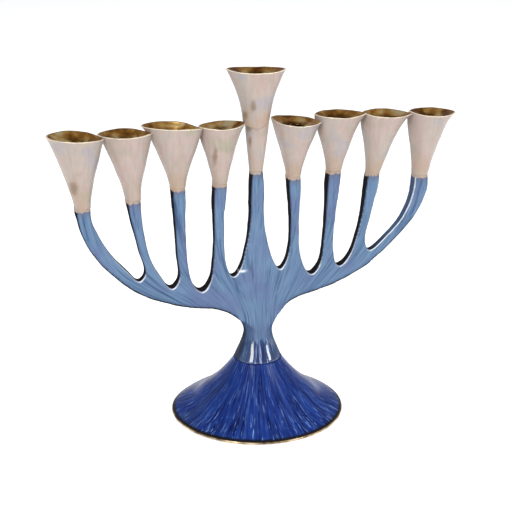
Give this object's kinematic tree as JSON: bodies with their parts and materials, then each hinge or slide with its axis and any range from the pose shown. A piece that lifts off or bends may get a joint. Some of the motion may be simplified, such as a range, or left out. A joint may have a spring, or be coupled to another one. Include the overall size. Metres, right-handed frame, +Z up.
{
  "type": "nine-branched menorah",
  "caption": "Enamelled Hanukkah menorah: a row of flared flower cups on curved stems, a raised helper cup at the centre, and a bell foot.",
  "frame": {"origin": "centre of the foot's underside, on the surface that the menorah stands on", "axes": "+Z up, +X along the row of cups towards the viewer's right, +Y from the front to the back"},
  "size_m": [0.2236, 0.096, 0.1936],
  "materials": {
    "cobalt_enamel": "glossy enamel with brush strokes",
    "blue_enamel": "satin enamel with brush strokes",
    "pearl_enamel": "pearly enamel with soft mottling",
    "polished_brass": "polished",
    "foot_brass": "polished edge",
    "felt": "dense felt",
    "steel": "zinc plated"
  },
  "bodies": {
    "root": {"base_shell": "cobalt_enamel", "foot_ring": "foot_brass", "felt_pad": "felt", "tie_washer": "steel", "tie_bolt": "steel", "branch_casting": "blue_enamel", "shamash_collar": "pearl_enamel", "cup_studs": "steel", "shamash_cup": "pearl_enamel", "shamash_liner": "polished_brass", "cup_1": "pearl_enamel", "liner_1": "polished_brass", "cup_2": "pearl_enamel", "liner_2": "polished_brass", "cup_3": "pearl_enamel", "liner_3": "polished_brass", "cup_4": "pearl_enamel", "liner_4": "polished_brass", "cup_5": "pearl_enamel", "liner_5": "polished_brass", "cup_6": "pearl_enamel", "liner_6": "polished_brass", "cup_7": "pearl_enamel", "liner_7": "polished_brass", "cup_8": "pearl_enamel", "liner_8": "polished_brass"}
  },
  "joints": []
}
